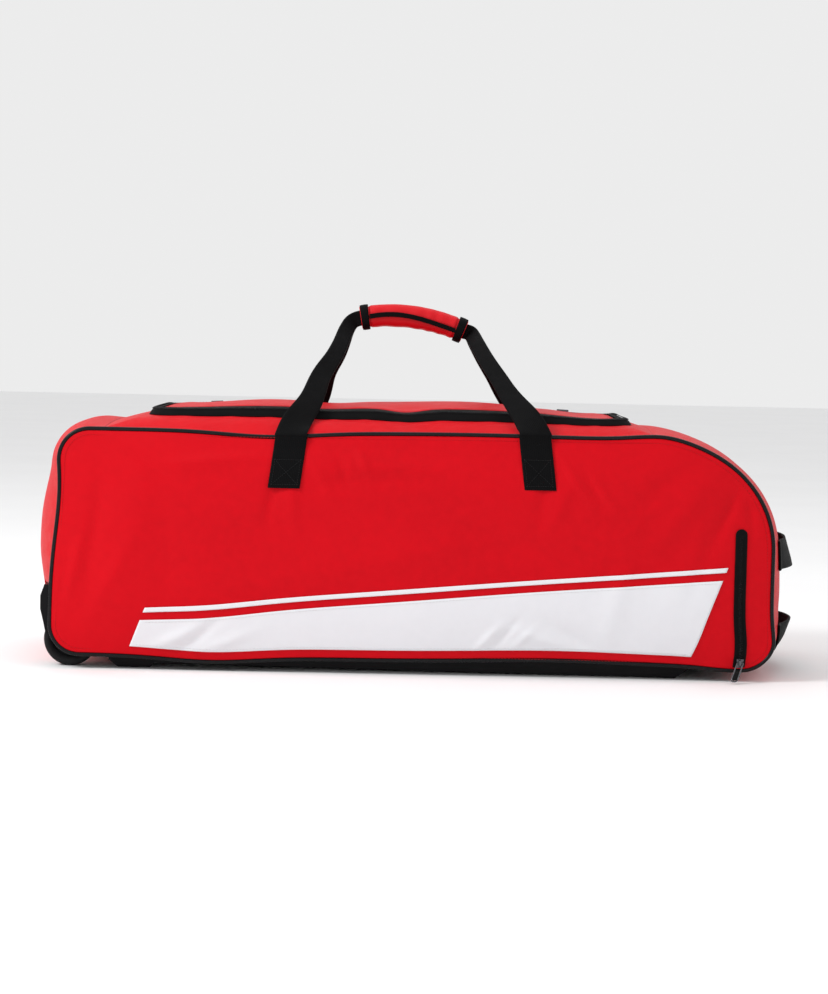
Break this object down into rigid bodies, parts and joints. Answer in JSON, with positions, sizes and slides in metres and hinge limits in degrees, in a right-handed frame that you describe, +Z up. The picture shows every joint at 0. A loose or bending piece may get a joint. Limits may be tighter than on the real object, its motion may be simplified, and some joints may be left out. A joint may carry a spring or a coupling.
{
  "type": "wheeled kit bag",
  "caption": "Long soft red sports kit bag with a zipped lid, webbing carry straps, a padded grip, tow-end handles, skid rails and wheels at one end.",
  "frame": {"origin": "middle of the bounding box at floor level", "axes": "+X along the bag from the wheels to the tow handles, +Y from the front side to the back side, +Z up"},
  "size_m": [0.988, 0.3642, 0.4664],
  "materials": {
    "red_cloth": "Bright red coated polyester with a low sheen",
    "white_cloth": "White printed cloth, smooth",
    "black_webbing": "Black woven polypropylene webbing",
    "black_piping": "Black PVC piping with a soft sheen",
    "zip_tape": "Black woven zip tape",
    "zip_teeth": "Black coil zip teeth",
    "black_plastic": "Black moulded plastic",
    "base_cloth": "Black heavy coated base cloth",
    "tyre": "Black moulded wheel tread",
    "dark_metal": "Dark plated zip metal",
    "steel": "Plain steel axle"
  },
  "bodies": {
    "bag": {"front_panel": "red_cloth", "piping_front": "black_piping", "back_panel": "red_cloth", "piping_back": "black_piping", "wheel_end_panel": "red_cloth", "tow_end_panel": "red_cloth", "wheel_housing_front": "black_plastic", "wheel_axle_front": "steel", "wheel_housing_back": "black_plastic", "wheel_axle_back": "steel", "base_panel": "base_cloth", "skid_rail_front": "black_plastic", "skid_rail_back": "black_plastic", "top_panel": "red_cloth", "main_zip_tape": "zip_tape", "main_zip_chain": "zip_teeth", "lid_hinge": "red_cloth", "lid_slider_wheel_end": "dark_metal", "lid_slider_tow_end": "dark_metal", "lid": "red_cloth", "carry_strap_front": "black_webbing", "carry_strap_back": "black_webbing", "grip_wrap": "red_cloth", "grip_binding_wheel_end": "black_webbing", "grip_binding_tow_end": "black_webbing", "grip_flap_binding": "black_webbing", "side_flash": "white_cloth", "side_pinstripe": "white_cloth", "pocket_zip_tape": "zip_tape", "pocket_zip_chain": "zip_teeth", "pocket_zip_slider": "dark_metal", "tow_handle_upper": "black_webbing", "tow_handle_lower": "black_webbing"},
    "wheel_front": {"wheel_tyre_front": "tyre", "wheel_hub_front": "black_plastic"},
    "wheel_back": {"wheel_tyre_back": "tyre", "wheel_hub_back": "black_plastic"},
    "pull": {"pocket_zip_pull": "dark_metal"}
  },
  "joints": [
    {"name": "wheel_front_spin", "type": "hinge", "parent": "bag", "child": "wheel_front", "pos_m": [-0.43756, -0.12692, 0.034], "axis": [0, 1, 0], "continuous": true},
    {"name": "wheel_back_spin", "type": "hinge", "parent": "bag", "child": "wheel_back", "pos_m": [-0.43756, 0.13308, 0.034], "axis": [0, 1, 0], "continuous": true},
    {"name": "pocket_pull_swing", "type": "hinge", "parent": "bag", "child": "pull", "pos_m": [0.4067, -0.16951, 0.02559], "axis": [-1, 0, 0], "range_deg": [0, 115]}
  ]
}
